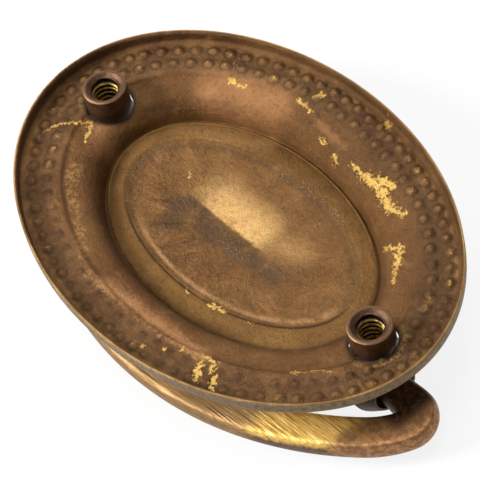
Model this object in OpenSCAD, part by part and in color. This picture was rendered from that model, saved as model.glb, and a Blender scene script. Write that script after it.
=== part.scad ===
// Oval bail pull for a small door or a drawer: a pressed brass backplate with a
// beaded border, two cast posts tapped from behind, and a bail that swings in them.
//
// X runs across through both posts, Z is up and the front faces -Y. The plane
// y = 0 is the wall, and the origin lies in it, halfway between the two posts.
// Depths are measured forwards from the wall, so a depth d lies at y = -d.

/* [Backplate outline] */
// Width of the oval backplate
plate_w = 89.7; // [84:0.1:100]
// Height of the oval backplate
plate_h = 62.1; // [58:0.1:72]
// Thickness of the brass sheet
sheet = 0.6; // [0.45:0.05:0.8]
// Width of the thinned edge that meets the wall
lip = 0.45; // [0.3:0.05:0.45]
// Depth from the wall to the back of the beaded border
border_depth = 2.35; // [1.8:0.05:3]
// Inside radius of the turned-back edge
edge_bend = 0.7; // [0.4:0.05:0.9]

/* [Beaded border] */
// Distance of the outer row of beads from the plate's edge
outer_row = 2.9; // [2.8:0.05:3.2]
// Distance of the inner row of beads from the plate's edge
inner_row = 5.9; // [5.5:0.05:6.3]
// Number of beads in the outer row
outer_bead_count = 76; // [60:1:84]
// Number of beads in the inner row
inner_bead_count = 69; // [54:1:76]
// Width of a bead across its row
bead_w = 1.9; // [1.4:0.1:2.2]
// Height of a bead
bead_h = 0.5; // [0.2:0.05:0.6]

/* [Pressed field] */
// Width of the field inside the border
field_w = 73.4; // [72:0.1:74.5]
// Height of the field inside the border
field_h = 47.8; // [46:0.1:49]
// Depth of the small step from the border down to the field
field_step = 0.45; // [0.3:0.05:0.7]
// Width of the ridge around the middle
ridge_w = 56.8; // [54:0.1:59]
// Height of the ridge around the middle
ridge_h = 35; // [32:0.1:37]
// Depth of the ridge's crest
ridge_depth = 6.7; // [5.5:0.1:8]
// Rise of the ridge out of the crease around it
ridge_rise = 0.7; // [0.3:0.05:1]

/* [Oval panel] */
// Width of the panel in the middle
panel_w = 49.4; // [44:0.1:51]
// Height of the panel in the middle
panel_h = 26.9; // [24:0.1:28]
// How far the panel was struck out of line with the plate
panel_turn = 3; // [0:0.5:4]
// Depth of the edge around the panel
panel_depth = 6.1; // [5.2:0.1:6.4]
// Drop from that edge into the panel
panel_step = 0.5; // [0.2:0.05:0.8]
// Hollow of the panel from its edge to its middle
panel_dish = 0.9; // [0.4:0.1:1.6]

/* [Posts] */
// Distance between the two posts
boring = 69.85; // [69:0.05:70.5]
// Diameter of a post's shank
shank_d = 7.5; // [7:0.1:8]
// How far the shank stands out behind the wall plane
shank_back = 1.7; // [1.3:0.1:2.5]
// Thread diameter in the shank
thread_d = 4.83; // [4:0.01:5]
// Diameter of the countersunk mouth
mouth_d = 6.3; // [5.6:0.1:6.6]
// Depth of the tapped hole from the shank's end
tapped_depth = 9.6; // [7:0.1:9.8]
// Bevel around the shank's end
shank_bevel = 0.25; // [0.1:0.05:0.35]
// Clearance around the shank in the backplate
shank_gap = 0.3; // [0.2:0.05:0.5]
// Depth at which the shank starts to flare into the head
flare_depth = 3.9; // [3.5:0.1:4.5]
// Diameter of the head
head_d = 12.5; // [12:0.1:13.5]
// Radius of the head's rounded edge
head_round = 4.5; // [4.2:0.1:4.7]
// Distance of the flat outer side from the post's axis
head_flat = 3.3; // [3.1:0.1:3.8]
// Width of the rim around the socket
socket_rim = 0.4; // [0.3:0.05:0.6]

/* [Pivot] */
// Depth of the bail's swing axis
pivot_depth = 12.4; // [12.2:0.05:13]
// Diameter of the socket in the head's flat side
socket_d = 7.6; // [7:0.1:7.8]
// Diameter of the pintle at each end of the bail
pintle_d = 3; // [2.6:0.1:3.4]
// Length of the pintle
pintle_length = 3.4; // [2.5:0.1:3.6]
// Clearance around the pintle in its bearing
pintle_gap = 0.08; // [0.05:0.01:0.1]
// End play between the bail's arm and the floor of the socket
end_play = 0.3; // [0.2:0.05:0.5]

/* [Bail] */
// Diameter of the arm where it enters the head
arm_d = 5.2; // [4.8:0.1:5.6]
// Width of the bow
bow_d = 6.4; // [5.8:0.1:6.8]
// Distance of the filed flat back from the middle of the bow
flat_back = 1.9; // [1.6:0.1:2.2]
// Drop of the bow's middle below the swing axis
bail_drop = 24.84; // [23:0.1:26]
// How far the bail's corner reaches out beyond the post's axis
corner_reach = 10.8; // [10:0.1:12]
// Half of the angle that the long curve takes up
bow_sweep = 41.7; // [40:0.1:43]
// Radius of the curve that rises to the corner
flank_radius = 17.1; // [16:0.1:18]
// Radius of the bend at the corner
corner_radius = 2.4; // [1.6:0.1:2.8]
// Angle that the bail stands out from hanging straight down
bail_lift = 5.3; // [0:0.1:30]

/* [Hidden] */
$fn = 96;

brass_patina = "#7a5a38";
post_brown = "#5f4630";
bail_brass = "#a07a45";

// Half sizes of the outline, and the width of the border at the oval's ends
half_w = plate_w / 2;
half_h = plate_h / 2;
border_w = (plate_w - field_w) / 2;

// Facets around the oval. A bead takes two of them, peak and valley.
outer_count = 2 * outer_bead_count;
inner_count = 2 * inner_bead_count;
field_count = 72;

// Even steps along an oval are not even steps of its angle. This lean of the
// angle, in degrees, makes up for it.
outer_lean = 90 / PI * (plate_w - plate_h) / (plate_w + plate_h);

// ---- The pressed sheet, as rings from the edge to the middle ----
// A ring is [half width, half height, depth, turn, count, bead height].

// A ring part of the way from the plate's outline in to the field's outline
function border_ring(inset, count, bead = 0) =
    let (part = inset / border_w)
    [
        half_w + (field_w / 2 - half_w) * part,
        half_h + (field_h / 2 - half_h) * part,
        border_depth, 0, count, bead
    ];

// A ring between two others, with its own shares of the way in and of the drop
function between(from, to, inward, drop) =
    [
        from[0] + (to[0] - from[0]) * inward,
        from[1] + (to[1] - from[1]) * inward,
        from[2] + (to[2] - from[2]) * drop,
        from[3] + (to[3] - from[3]) * inward,
        field_count, 0
    ];

// The border with its two rows of beads
bead_reach = bead_w / 2;
row_middle = (outer_row + inner_row) / 2;
row_split = 0.25;
border_rings = [
    border_ring(outer_row - bead_reach, outer_count),
    border_ring(outer_row, outer_count, bead_h),
    border_ring(row_middle - row_split, outer_count),
    border_ring(row_middle + row_split, inner_count),
    border_ring(inner_row, inner_count, bead_h),
    border_ring(inner_row + bead_reach, inner_count)
];

// The field: a small step, a cove that stays flat beside the border and then
// drops steeply, a crease and a ridge
step_run = 0.6;
crease_run = 0.5;
cove_end = 82;
cove_steps = 6;
cove_power = 2 / 3;
field_edge = [field_w / 2, field_h / 2, border_depth, 0, field_count, 0];
field_foot = [
    field_w / 2 - step_run, field_h / 2 - step_run,
    border_depth + field_step, 0, field_count, 0
];
crease = [
    ridge_w / 2 + crease_run, ridge_h / 2 + crease_run,
    ridge_depth + ridge_rise, 0, field_count, 0
];
crest = [ridge_w / 2, ridge_h / 2, ridge_depth, 0, field_count, 0];
cove_rings = [
    for (k = [0:cove_steps])
        let (swing = cove_end * k / cove_steps)
        between(
            field_foot, crease,
            pow(sin(swing) / sin(cove_end), cove_power),
            (1 - pow(cos(swing), cove_power)) / (1 - pow(cos(cove_end), cove_power))
        )
];

// The panel: its raised edge, the drop inside it and the shallow dish
panel_run = 0.35;
dish_steps = 3;
panel_edge = [
    panel_w / 2 + panel_run, panel_h / 2 + panel_run,
    panel_depth, -panel_turn, field_count, 0
];
panel_foot = [
    panel_w / 2, panel_h / 2,
    panel_depth + panel_step, -panel_turn, field_count, 0
];
dish_rings = [
    for (k = [1:dish_steps - 1])
        let (part = k / dish_steps)
        [
            panel_w / 2 * (1 - part), panel_h / 2 * (1 - part),
            panel_depth + panel_step + panel_dish * (1 - (1 - part) * (1 - part)),
            -panel_turn, field_count, 0
        ]
];
dish_middle = panel_depth + panel_step + panel_dish;

pressed_rings = concat(
    border_rings, [field_edge], cove_rings, [crest, panel_edge, panel_foot], dish_rings
);

// The turned-back edge: inside face and bend, then outside face and bend
function edge_ring(inset, depth) =
    [half_w - inset, half_h - inset, depth, 0, outer_count, 0];
outer_bend = edge_bend + sheet;
inner_edge_rings = [
    edge_ring(lip, 0),
    edge_ring(sheet, border_depth - edge_bend),
    edge_ring(sheet + edge_bend * (1 - cos(45)), border_depth - edge_bend * (1 - sin(45))),
    edge_ring(sheet + edge_bend, border_depth)
];
outer_edge_rings = [
    edge_ring(0, 0),
    edge_ring(0, border_depth + sheet - outer_bend),
    edge_ring(outer_bend * (1 - cos(45)), border_depth + sheet - outer_bend * (1 - sin(45))),
    edge_ring(outer_bend, border_depth + sheet)
];

// The front of the sheet lies one sheet thickness off its back, square to it
function front_ring(rings, k) =
    let (
        before = rings[max(k - 1, 0)],
        after = rings[min(k + 1, len(rings) - 1)],
        inward = after[0] - before[0],
        drop = after[2] - before[2],
        run = norm([inward, drop]),
        shift = sheet * drop / run,
        push = -sheet * inward / run
    )
    [
        rings[k][0] + shift, rings[k][1] + shift, rings[k][2] + push,
        rings[k][3], rings[k][4], rings[k][5]
    ];
front_rings = [for (k = [0:len(pressed_rings) - 1]) front_ring(pressed_rings, k)];

// The whole skin, from the middle of the back, round the edge, to the front
function reversed(list) = [for (k = [len(list) - 1:-1:0]) list[k]];
skin_rings = concat(
    reversed(concat(inner_edge_rings, pressed_rings)), outer_edge_rings, front_rings
);

// Points of one ring. Every second point of a beaded ring is a bead's peak.
function ring_points(ring) =
    let (count = ring[4])
    [
        for (k = [0:count - 1])
            let (
                even = 360 * k / count,
                angle = even + outer_lean * sin(2 * even),
                x = ring[0] * cos(angle),
                z = ring[1] * sin(angle),
                bead = (k % 2 == 0) ? ring[5] : 0
            )
            [
                x * cos(ring[3]) - z * sin(ring[3]),
                -ring[2] + bead,
                x * sin(ring[3]) + z * cos(ring[3])
            ]
    ];

// Triangles between two rings whose first points are a and b. The counts may
// differ, and each edge takes the nearest point of the other ring.
function stitch(a, a_count, b, b_count) =
    concat(
        [
            for (k = [0:a_count - 1])
                let (j = round((k + 0.5) * b_count / a_count) % b_count)
                [a + k, a + (k + 1) % a_count, b + j]
        ],
        [
            for (j = [0:b_count - 1])
                let (k = ceil((j + 0.5) * a_count / b_count - 0.5) % a_count)
                [b + (j + 1) % b_count, b + j, a + k]
        ]
    );

// The same beside a row of beads, with the diagonals laid around each peak
function stitch_beads(a, b, count, peak_in_a) =
    [
        for (k = [0:count - 1])
            let (
                next = (k + 1) % count,
                rising = (k % 2 == 0) != peak_in_a,
                first = rising
                    ? [a + k, a + next, b + next]
                    : [a + k, a + next, b + k],
                second = rising
                    ? [a + k, b + next, b + k]
                    : [a + next, b + next, b + k]
            )
            each [first, second]
    ];

function first_point(rings, k) = k == 0 ? 0 : first_point(rings, k - 1) + rings[k - 1][4];

skin_points = concat(
    [for (ring = skin_rings) each ring_points(ring)],
    [[0, -dish_middle, 0], [0, -dish_middle - sheet, 0]]
);
ring_count = len(skin_rings);
point_count = first_point(skin_rings, ring_count);
skin_faces = concat(
    [
        for (k = [0:ring_count - 2])
            let (
                a = first_point(skin_rings, k),
                b = first_point(skin_rings, k + 1),
                one = skin_rings[k],
                two = skin_rings[k + 1],
                beaded = one[4] == two[4] && (one[5] > 0 || two[5] > 0)
            )
            each beaded
                ? stitch_beads(a, b, one[4], one[5] > 0)
                : stitch(a, one[4], b, two[4])
    ],
    [for (k = [0:field_count - 1]) [(k + 1) % field_count, k, point_count]],
    [
        for (k = [0:field_count - 1])
            let (a = point_count - field_count)
            [a + k, a + (k + 1) % field_count, point_count + 1]
    ]
);

// ---- The posts ----
side_reach = boring / 2;
shank_r = shank_d / 2;
head_r = head_d / 2;
head_middle = head_r - head_round;
head_front = pivot_depth + head_round;
// The neck is a straight flare that runs out on the head's rounded edge. It
// stops a hair inside the round, so that the two surfaces cross cleanly.
neck_inset = 0.02;
front_flat_drop = 0.03;
taper_from = 0.6;
taper_spare = 0.2;
taper_top = 1.5;
neck_drop = pivot_depth - flare_depth;
neck_angle = atan2(neck_drop, shank_r - head_middle)
    - acos(head_round / norm([neck_drop, shank_r - head_middle]));
neck_end = [
    head_middle + (head_round - neck_inset) * cos(neck_angle),
    -pivot_depth + (head_round - neck_inset) * sin(neck_angle)
];

// ---- The bail, laid out in its own plane: x across and v down ----
arm_r = arm_d / 2;
bow_r = bow_d / 2;
bow_from = 90 - bow_sweep;
corner_centre = [side_reach + corner_reach - corner_radius, corner_radius];
// The bow's radius follows from the place of the corner. The long curve, the
// flank and the corner's bend meet without a kink, and that leaves one radius.
bow_c = cos(bow_from);
bow_s = 1 - sin(bow_from);
fall = corner_radius - bail_drop + flank_radius;
half_term = corner_centre[0] * bow_c - fall * bow_s;
square_term = bow_c * bow_c + bow_s * bow_s;
rest_term = corner_centre[0] * corner_centre[0] + fall * fall
    - pow(flank_radius - corner_radius, 2);
radius_over =
    (half_term - sqrt(half_term * half_term - square_term * rest_term)) / square_term;
bow_radius = flank_radius + radius_over;
bow_centre_v = bail_drop - bow_radius;
flank_centre = [
    radius_over * cos(bow_from),
    bow_centre_v + radius_over * sin(bow_from)
];
corner_to = atan2(corner_centre[1] - flank_centre[1], corner_centre[0] - flank_centre[0]);
arm_end = side_reach + end_play;

// The bow and its flanks are one sweep. A station is [x, v, angle, scale],
// where the angle points outwards from the centre of that curve.
function on_curve(centre, radius, angle, scale = 1) =
    [centre[0] + radius * cos(angle), centre[1] + radius * sin(angle), angle, scale];
function mirrored(stations) =
    [for (s = reversed(stations)) [-s[0], s[1], 180 - s[2], s[3]]];

// Each end comes to the corner a hair thinner than the corner's bend, runs on
// into it and stays inside it
shy = 0.08;
shy_scale = 1 - shy / bow_r;
tuck_scale = 0.85;
tuck_angle = 25;
arm_flat_rise = 0.35;
flank_start = corner_to + 1.5;
flank_steps = 9;
flank_stations = concat(
    [on_curve(corner_centre, corner_radius, corner_to - tuck_angle, tuck_scale)],
    [
        for (k = [0:flank_steps])
            on_curve(
                flank_centre, flank_radius,
                flank_start + (bow_from - flank_start) * k / flank_steps,
                k == 0 ? shy_scale : 1
            )
    ]
);
bow_steps = 22;
bow_stations = [
    for (k = [1:bow_steps - 1])
        on_curve([0, bow_centre_v], bow_radius, bow_from + 2 * bow_sweep * k / bow_steps)
];
bail_stations = concat(flank_stations, bow_stations, mirrored(flank_stations));

// Outline of the bow's section: round, with the flat filed on its back
section_count = 24;
flat_angle = asin(flat_back / bow_r);
section_points = [
    for (k = [0:section_count - 1])
        let (angle = 180 - flat_angle + (180 + 2 * flat_angle) * k / (section_count - 1))
        bow_r * [cos(angle), sin(angle)]
];
bail_points = [
    for (s = bail_stations)
        for (p = section_points)
            let (out = p[0] * s[3], back = p[1] * s[3])
            [s[0] + out * cos(s[2]), back, -s[1] - out * sin(s[2])]
];
last_station = (len(bail_stations) - 1) * section_count;
bail_faces = concat(
    [[for (k = [section_count - 1:-1:0]) k]],
    [
        for (s = [0:len(bail_stations) - 2])
            for (k = [0:section_count - 1])
                let (
                    a = s * section_count + k,
                    b = s * section_count + (k + 1) % section_count
                )
                each [[a, b, a + section_count], [b, b + section_count, a + section_count]]
    ],
    [[for (k = [0:section_count - 1]) last_station + k]]
);

// One post, drawn at the origin with its flat side towards +X
module post_body() {
    rotate([-90, 0, 0])
        rotate([0, 0, 50]) {
            // Shank and neck
            rotate_extrude()
                polygon([
                    [0, shank_back],
                    [shank_r - shank_bevel, shank_back],
                    [shank_r, shank_back - shank_bevel],
                    [shank_r, -flare_depth],
                    neck_end,
                    [0, -pivot_depth]
                ]);
            // Head with its rounded edge
            rotate_extrude()
                intersection() {
                    translate([head_middle, -pivot_depth]) circle(r = head_round);
                    translate([0, -head_front]) square([head_r, head_d]);
                }
            // Small flat in the middle of the head's front
            translate([0, 0, -head_front + front_flat_drop])
                cylinder(r = head_middle, h = head_round);
        }
}

// Everything of the head that lies outside a cone around the swing axis, so
// that the head narrows to the socket's rim
module head_taper() {
    rim_r = socket_d / 2 + socket_rim;
    translate([0, -pivot_depth, 0])
        rotate([0, 90, 0])
            rotate_extrude()
                polygon([
                    [rim_r, head_flat + 1],
                    [rim_r, head_flat],
                    [head_r + taper_spare, taper_from],
                    [head_d, taper_from],
                    [head_d, head_flat + 1]
                ]);
}

module post() {
    pocket = head_r + 1;
    difference() {
        post_body();
        // Taper of the head, on the side away from the wall
        intersection() {
            head_taper();
            translate([-head_d, -head_front - 1, -head_d])
                cube([head_d * 2, head_front - pivot_depth + 1 + taper_top, head_d * 2]);
        }
        // Tapped hole and its countersunk mouth
        translate([0, shank_back - tapped_depth, 0])
            rotate([-90, 0, 0]) cylinder(d = thread_d, h = tapped_depth + 1);
        translate([0, shank_back - (mouth_d - thread_d) / 2, 0])
            rotate([-90, 0, 0])
                cylinder(d1 = thread_d, d2 = mouth_d, h = (mouth_d - thread_d) / 2);
        // Flat outer side of the head
        translate([head_flat, -head_front - 1, -head_r - 1])
            cube([head_r, head_front - pivot_depth + 1 + socket_d * 0.75, head_d + 2]);
        // Socket for the bail's arm and the bearing behind it
        translate([0, -pivot_depth, 0]) rotate([0, 90, 0]) cylinder(d = socket_d, h = pocket);
        translate([-pintle_length - end_play, -pivot_depth, 0])
            rotate([0, 90, 0])
                cylinder(d = pintle_d + 2 * pintle_gap, h = pintle_length + pocket);
    }
}

// Section of the bow: round, with a flat filed on the back
module bow_section() {
    intersection() {
        circle(r = bow_r);
        translate([-bow_r, -flat_back]) square([bow_d, bow_r + flat_back]);
    }
}

// The bend at a corner, turned about its own centre
module bail_corner() {
    translate([corner_centre[0], 0, -corner_centre[1]])
        rotate([90, 0, 0])
            rotate([0, 0, -corner_to])
                rotate_extrude(angle = corner_to + 90)
                    intersection() {
                        translate([corner_radius, 0]) bow_section();
                        translate([0, -bow_r]) square([corner_radius + bow_d, bow_d]);
                    }
}

// One arm with its pintle, from the corner in to the socket. Its flat back
// runs out towards the head.
module bail_arm() {
    arm_tuck = 0.6;
    arm_length = corner_centre[0] + arm_tuck - arm_end;
    run_out = atan2(arm_flat_rise, arm_length);
    difference() {
        translate([arm_end, 0, 0])
            rotate([0, 90, 0]) cylinder(r1 = arm_r, r2 = bow_r - shy, h = arm_length);
        translate([corner_centre[0] + arm_tuck, flat_back - shy, -bow_r])
            rotate([0, 0, -run_out])
                translate([-arm_length - bow_d, 0, 0]) cube([arm_length + 2 * bow_d, bow_d, bow_d]);
    }
    translate([side_reach - pintle_length, 0, 0])
        rotate([0, 90, 0]) cylinder(d = pintle_d, h = pintle_length + end_play + 1);
}

module backplate() {
    color(brass_patina)
        difference() {
            polyhedron(skin_points, skin_faces);
            for (side = [-1, 1])
                translate([side * side_reach, 0, 0])
                    rotate([90, 0, 0])
                        cylinder(d = shank_d + 2 * shank_gap, h = head_front);
        }
}

module left_post() {
    color(post_brown) translate([-side_reach, 0, 0]) mirror([1, 0, 0]) post();
}

module right_post() {
    color(post_brown) translate([side_reach, 0, 0]) post();
}

module bail() {
    color(bail_brass)
        translate([0, -pivot_depth, 0])
            rotate([-bail_lift, 0, 0]) {
                polyhedron(bail_points, bail_faces);
                for (side = [0, 1])
                    mirror([side, 0, 0]) {
                        bail_corner();
                        bail_arm();
                    }
            }
}

backplate();
left_post();
right_post();
bail();
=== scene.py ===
# %% [markdown]
# # Oval bail pull, lying on its face
#
# A bail pull is a drawer handle: a stamped brass plate, two turned posts and a
# cast bail that swings between them. The CAD frame gives the posts and the swing.
# This script adds what a camera sees up close: the pressed sheet with its domed
# beads, a smooth bail, the turns of thread in the posts, and the old brass. A
# scan could give the same look. Shapes built from measured curves were chosen,
# since they stay true to the sizes of the CAD part.

# %% Modules and the CAD frame
import math

import bmesh
import bpy
import numpy as np
from mathutils import Matrix, Vector


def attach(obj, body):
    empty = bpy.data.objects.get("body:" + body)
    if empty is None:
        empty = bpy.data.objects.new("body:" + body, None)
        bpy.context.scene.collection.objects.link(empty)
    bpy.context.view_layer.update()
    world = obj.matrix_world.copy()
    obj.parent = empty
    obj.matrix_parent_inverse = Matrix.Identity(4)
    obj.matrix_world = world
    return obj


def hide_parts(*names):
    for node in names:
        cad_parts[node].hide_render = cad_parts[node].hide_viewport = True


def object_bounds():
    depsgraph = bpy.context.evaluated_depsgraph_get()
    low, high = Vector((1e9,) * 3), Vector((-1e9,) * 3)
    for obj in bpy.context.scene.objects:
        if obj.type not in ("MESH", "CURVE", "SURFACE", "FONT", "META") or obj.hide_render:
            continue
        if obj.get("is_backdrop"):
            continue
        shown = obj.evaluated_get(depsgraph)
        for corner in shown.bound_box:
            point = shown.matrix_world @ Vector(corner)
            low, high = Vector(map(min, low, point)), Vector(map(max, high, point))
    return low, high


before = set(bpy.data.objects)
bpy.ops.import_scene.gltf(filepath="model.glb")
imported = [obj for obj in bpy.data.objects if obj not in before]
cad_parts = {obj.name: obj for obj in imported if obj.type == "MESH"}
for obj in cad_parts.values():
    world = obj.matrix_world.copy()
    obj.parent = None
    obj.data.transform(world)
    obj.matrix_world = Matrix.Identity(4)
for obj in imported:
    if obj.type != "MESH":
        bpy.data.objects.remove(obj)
cad_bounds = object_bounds()
print("nodes", sorted(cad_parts))

# %% [markdown]
# ## Sizes
#
# The plate is 89.7 mm wide and the posts stand 69.85 mm apart, a common boring.
# Metres could be written throughout. Millimetres were chosen, because they read
# like the drawing, and they become metres only when a mesh is made. X runs
# across, Z is up, the front faces -Y and the wall is y = 0.

# %% Sizes in millimetres
MM = 0.001
half_w, half_h = 44.85, 31.05
field_w, field_h = 36.7, 23.9
sheet = 0.6
border_depth = 2.35
edge_bend = 0.7
post_x = 34.925
hole_r = 4.0
pivot_depth = 12.4
print("plate", 2 * half_w, "by", 2 * half_h, "mm, posts", 2 * post_x, "mm apart")

# %% [markdown]
# ## The profile of the pressed sheet
#
# The real plate is sheet brass, pressed between two dies, so its thickness is the
# same everywhere. It could be cut from a solid or bent by modifiers. Here its
# profile is written down and carried round an oval, so every fold has its own
# size. A ring is its half width, half height, depth from the wall and turn in
# degrees. The rings run from the edge that meets the wall, over the border and
# down into the panel.


# %% Rings of the edge and the border
def border_at(inset):
    part = inset / (half_w - field_w)
    return [half_w + (field_w - half_w) * part, half_h + (field_h - half_h) * part]


def edge_at(inset, depth):
    return [half_w - inset, half_h - inset, depth, 0]


def quarter_round(corner_inset, corner_depth, radius, steps):
    """Rings from the wall of the edge round to the flat border."""
    rings = []
    for k in range(steps + 1):
        a = math.radians(90 * k / steps)
        inset = corner_inset + radius * (1 - math.cos(a))
        rings.append(edge_at(inset, corner_depth - radius * (1 - math.sin(a))))
    return rings


inner_edge = [edge_at(0.45, 0.03), edge_at(0.52, 0.8)]
inner_edge += quarter_round(sheet, border_depth, edge_bend, 5)
outer_edge = [edge_at(0.12, 0.0), edge_at(0, 0.12), edge_at(0, 0.9)]
outer_edge += quarter_round(0, border_depth + sheet, edge_bend + sheet, 6)

flat_start, flat_end, flat_steps = 1.55, 7.45, 25
border = []
for k in range(flat_steps + 1):
    inset = flat_start + (flat_end - flat_start) * k / flat_steps
    border.append(border_at(inset) + [border_depth, 0])
print("border rings", len(border))

# %% [markdown]
# The field is pressed into the sheet: a small step, a hollow like a cove that is
# steepest at the crease round the middle, a low ridge, a sloping band and the
# panel. A spline could carry this line. A formula was chosen for the cove,
# because one angle and one power set how its shade grows towards the crease.


# %% Rings of the cove, the ridge and the panel
def between(a, b, inward, drop):
    """A ring some way inward from a to b, and some way down."""
    width, height = a[0] + (b[0] - a[0]) * inward, a[1] + (b[1] - a[1]) * inward
    return [width, height, a[2] + (b[2] - a[2]) * drop, 0]


def soften(rings, radius, steps=3):
    """Rounds every corner of the profile with a short curve."""
    p = np.array(rings, float)
    out = [p[0]]
    for k in range(1, len(p) - 1):
        before, after = p[k - 1] - p[k], p[k + 1] - p[k]
        far_b, far_a = np.hypot(before[0], before[2]), np.hypot(after[0], after[2])
        s = p[k] + before * min(radius / far_b, 0.45)
        e = p[k] + after * min(radius / far_a, 0.45)
        for j in range(steps + 1):
            t = j / steps
            out.append((1 - t) ** 2 * s + 2 * t * (1 - t) * p[k] + t * t * e)
    out.append(p[-1])
    return [list(r) for r in out]


field_foot = [field_w - 0.6, field_h - 0.6, border_depth + 0.45, 0]
crease = [28.9, 18.0, 7.3, 0]
cove, cove_steps = [], 18
steepest, power = math.radians(82), 2 / 3
for k in range(cove_steps + 1):
    swing = steepest * k / cove_steps
    cove.append(
        between(
            field_foot, crease,
            (math.sin(swing) / math.sin(steepest)) ** power,
            (1 - math.cos(swing) ** power) / (1 - math.cos(steepest) ** power),
        )
    )
cove = [c for k, c in enumerate(cove) if k == 0 or k > 2]
step_round, ridge_round, panel_turn = 0.55, 0.6, -3
step_top = [field_w, field_h, border_depth, 0]
step_rings = soften([border[-1], step_top, cove[0], cove[1]], step_round)
ridge = [[28.3, 17.4, 6.72, 0], [27.0, 16.1, 6.5, -1], [25.2, 13.95, 6.2, panel_turn]]
panel_foot = [[23.9, 12.7, 6.72, panel_turn], [21.6, 11.4, 6.85, panel_turn]]
ridge_rings = soften(cove[-2:] + ridge + panel_foot, ridge_round)
dish_w, dish_h, dish_depth, dish_sag, dish_steps = 24.7, 13.45, 6.6, 0.9, 9
dish = []
for k in range(1, dish_steps):
    out = 1 - k / dish_steps
    dish.append([dish_w * out, dish_h * out, dish_depth + dish_sag * (1 - out ** 2), panel_turn])
dish = [d for d in dish if d[0] < ridge_rings[-1][0] - 0.5]
back = inner_edge + border + step_rings[1:-1] + cove[2:-2] + ridge_rings + dish
print("rings on the back", len(back))

# %% [markdown]
# The front of the sheet lies one thickness off its back, square to it. A
# Solidify modifier would do this too. The offset is worked out ring by ring,
# because the bent edge has a wider round outside than inside.


# %% Rings of the front
def offset_rings(rings):
    out = []
    for k, ring in enumerate(rings):
        before, after = rings[max(k - 1, 0)], rings[min(k + 1, len(rings) - 1)]
        inward, drop = after[0] - before[0], after[2] - before[2]
        run = math.hypot(inward, drop)
        wider, nearer = sheet * drop / run, sheet * inward / run
        out.append([ring[0] + wider, ring[1] + wider, ring[2] - nearer, ring[3]])
    return out


front = outer_edge + offset_rings(back)[len(inner_edge):]
print("rings on the front", len(front))

# %% [markdown]
# ## Beads
#
# Two rows of round beads are struck up from the front, so they stand out on the
# back. Small spheres could be joined on, but a struck bead grows softly out of
# the sheet, so the sheet's own points are lifted by a dome round each bead. No
# two are quite alike, and the rows are worn lower at the bottom.

# %% Ovals and beads
COLUMNS = 560
OUTER_BEADS, INNER_BEADS = 76, 69
OUTER_ROW, INNER_ROW = 2.9, 5.9
BEAD_R, BEAD_H, BEAD_REACH = 0.9, 0.62, 1.8
lean = 0.5 * (half_w - half_h) / (half_w + half_h)


def oval_points(rings, columns):
    """Points of every ring, as an array [ring, column, (x, depth, z)]."""
    even = np.arange(columns) * 2 * math.pi / columns
    angle = even + lean * np.sin(2 * even)
    r = np.array(rings, float)
    x, z = np.outer(r[:, 0], np.cos(angle)), np.outer(r[:, 1], np.sin(angle))
    turn = np.radians(r[:, 3])[:, None]
    depth = np.repeat(r[:, 2][:, None], columns, 1)
    across = x * np.cos(turn) - z * np.sin(turn)
    return np.stack([across, depth, x * np.sin(turn) + z * np.cos(turn)], 2)


bead_centres = np.concatenate([
    oval_points([border_at(OUTER_ROW) + [0, 0]], OUTER_BEADS)[0],
    oval_points([border_at(INNER_ROW) + [0, 0]], INNER_BEADS)[0],
])[:, [0, 2]]


def raise_beads(points):
    """Lifts the border by a dome round every bead; also tells how near a bead each point is."""
    flat = points[:, :, [0, 2]].reshape(-1, 2)
    dome, nearness = np.zeros(len(flat)), np.zeros(len(flat))
    wear = np.random.default_rng(4)
    for number, centre in enumerate(bead_centres):
        radius = BEAD_R * wear.uniform(0.9, 1.08)
        height = BEAD_H * wear.uniform(0.6, 1.0)
        if number >= OUTER_BEADS:
            height *= 0.85
            if centre[1] < -6 and centre[0] < 30:
                height *= 0.5
        elif centre[1] < -18:
            height *= 0.6
        middle = centre + wear.normal(0, 0.07, 2)
        near = np.hypot(*(flat - middle).T)
        dome = np.maximum(dome, np.clip(1 - (near / radius) ** 2, 0, 1) ** 1.15 * height)
        nearness = np.maximum(nearness, np.clip(1 - near / BEAD_REACH, 0, 1) * min(height / 0.4, 1))
    points[:, :, 1] -= dome.reshape(points.shape[:2])
    return points, nearness


back_points, back_near = raise_beads(oval_points(back, COLUMNS))
front_points, front_near = raise_beads(oval_points(front, COLUMNS))
print("beads", len(bead_centres), "points", back_points.size // 3 + front_points.size // 3)

# %% [markdown]
# ## Holes
#
# Each post passes a hole where the border meets the cove. A Boolean would cut
# it, but leaves long thin faces that catch the light. So the points nearest to
# the rim are moved onto its circle, and the faces inside it are left out. One
# hole is a little off centre, as in the photo.

# %% Holes for the posts
HOLES = {-1: (-post_x, 0.0), 1: (post_x - 0.13, 0.17)}


def from_hole(points, side):
    off = points[:, :, [0, 2]] - np.array(HOLES[side])
    return off, np.hypot(off[:, :, 0], off[:, :, 1])


def cut_holes(points, inside):
    """Moves the rim of each hole onto its circle and returns the new points."""
    for side in (-1, 1):
        off, far = from_hole(points, side)
        near_rim = (far < hole_r) | (inside & (np.sign(points[:, :, 0]) == side))
        scale = np.where(near_rim, hole_r / np.maximum(far, 1e-6), 1.0)
        points[:, :, 0] = HOLES[side][0] + off[:, :, 0] * scale
        points[:, :, 2] = HOLES[side][1] + off[:, :, 1] * scale
    return points


inside = (from_hole(back_points, -1)[1] < hole_r) | (from_hole(back_points, 1)[1] < hole_r)
back_points = cut_holes(back_points, inside)
front_inside = np.zeros(front_points.shape[:2], bool)
front_inside[len(outer_edge):] = inside[len(inner_edge):]
front_points = cut_holes(front_points, front_inside)
print("points inside the holes", int(inside.sum()))

# %% [markdown]
# ## The plate's mesh
#
# The sheet is one closed skin: the back, the front, the narrow edge that joins
# them at the wall, and the walls of the two holes. Spinning or bridging makes
# round forms, but these rings change their proportions and turn on the way, so
# the faces are laid as a grid. Each point also keeps how near a bead it lies.


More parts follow.
